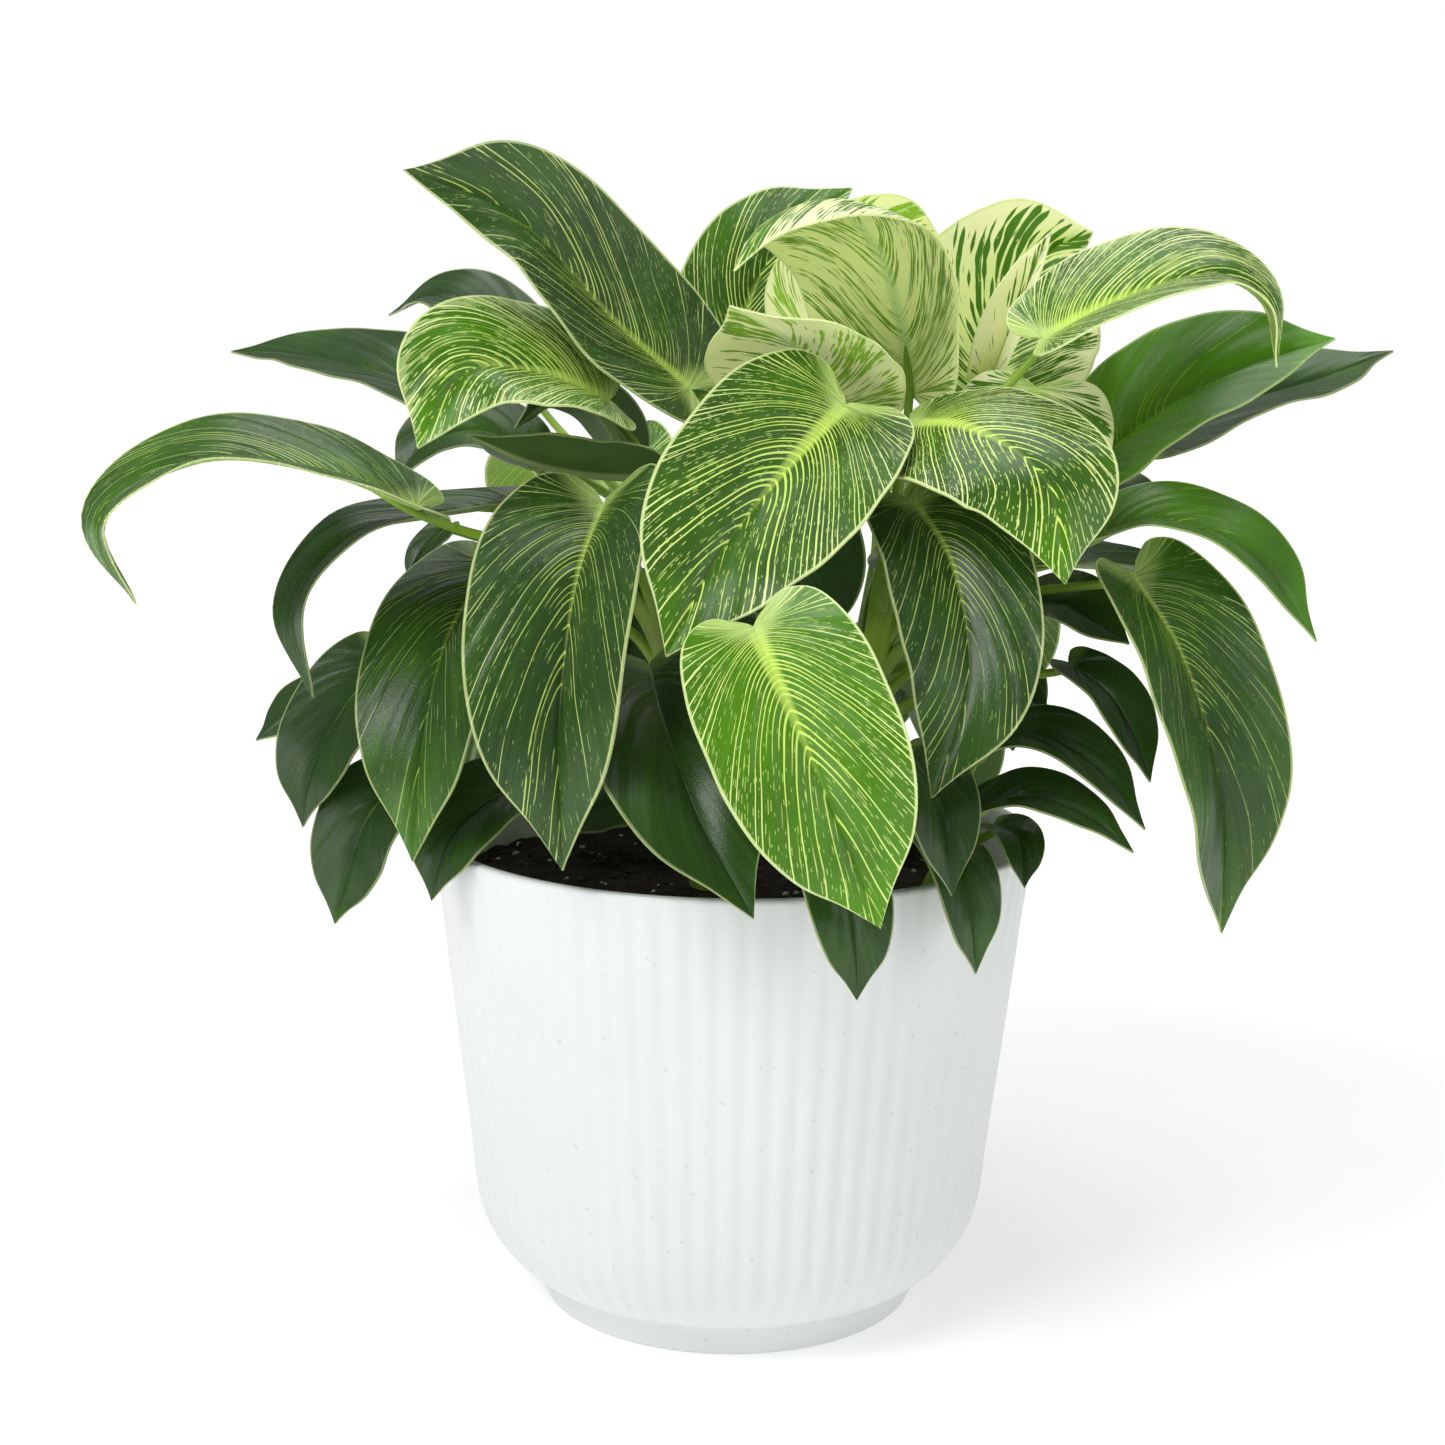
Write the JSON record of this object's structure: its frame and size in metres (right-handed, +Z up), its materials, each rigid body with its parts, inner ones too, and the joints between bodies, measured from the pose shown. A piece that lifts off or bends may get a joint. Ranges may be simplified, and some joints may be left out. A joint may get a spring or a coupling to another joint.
{
  "type": "potted birkin philodendron",
  "caption": "Bushy houseplant with heart-shaped dark green leaves pin-striped in cream, on lime-green leafstalks, in a round ribbed white pot filled with potting mix.",
  "frame": {"origin": "centre of the flat underside of the pot's foot, where it rests", "axes": "+Z up the pot's axis, -Y towards the side that the picture shows, +X to that side's right"},
  "size_m": [0.3765, 0.2749, 0.3415],
  "materials": {
    "white_pot": "satin",
    "soil": "matte",
    "leafstalk": "satin",
    "plain_leaf": "satin",
    "striped_leaf": "satin",
    "bright_leaf": "satin",
    "pale_leaf": "satin",
    "new_leaf": "satin"
  },
  "bodies": {
    "root": {"leaf_back_arch": "pale_leaf", "leaf_back_centre": "striped_leaf", "leaf_behind_left": "plain_leaf", "leaf_broad_right": "plain_leaf", "leaf_centre": "bright_leaf", "leaf_dark_left": "plain_leaf", "leaf_far_right": "plain_leaf", "leaf_front_bright": "bright_leaf", "leaf_front_left": "striped_leaf", "leaf_front_plain": "plain_leaf", "leaf_front_right": "striped_leaf", "leaf_hanging_right": "striped_leaf", "leaf_hood": "pale_leaf", "leaf_inner_dark": "plain_leaf", "leaf_inner_left": "plain_leaf", "leaf_inner_right": "plain_leaf", "leaf_left_edge": "plain_leaf", "leaf_left_far_low": "plain_leaf", "leaf_left_hanging": "striped_leaf", "leaf_left_outer_low": "plain_leaf", "leaf_left_over_rim": "plain_leaf", "leaf_long_left": "striped_leaf", "leaf_low_arch": "plain_leaf", "leaf_low_front": "plain_leaf", "leaf_lower_arch": "plain_leaf", "leaf_mid_right": "plain_leaf", "leaf_narrow_left": "plain_leaf", "leaf_new_spear": "new_leaf", "leaf_new_white": "new_leaf", "leaf_over_rim_front": "plain_leaf", "leaf_over_rim_right": "plain_leaf", "leaf_pale_inner": "pale_leaf", "leaf_pale_left": "bright_leaf", "leaf_pale_right": "pale_leaf", "leaf_rear_lower_left": "plain_leaf", "leaf_rear_lower_right": "plain_leaf", "leaf_rear_outer_left": "plain_leaf", "leaf_rear_outer_right": "striped_leaf", "leaf_rear_side_left": "plain_leaf", "leaf_rear_side_right": "plain_leaf", "leaf_rear_upper_centre": "striped_leaf", "leaf_rear_upper_left": "bright_leaf", "leaf_rear_upper_right": "striped_leaf", "leaf_right_arch": "bright_leaf", "leaf_right_front": "striped_leaf", "leaf_right_low": "plain_leaf", "leaf_right_under": "plain_leaf", "leaf_rim_round": "plain_leaf", "leaf_shade_left": "plain_leaf", "leaf_slim_right": "plain_leaf", "leaf_tall_left": "striped_leaf", "leaf_turned": "pale_leaf", "leaf_under_left": "plain_leaf", "pot": "white_pot", "shoot_back_left": "leafstalk", "shoot_back_right": "leafstalk", "shoot_front_left": "leafstalk", "shoot_front_right": "leafstalk", "shoot_small": "leafstalk", "soil": "soil"}
  },
  "joints": []
}
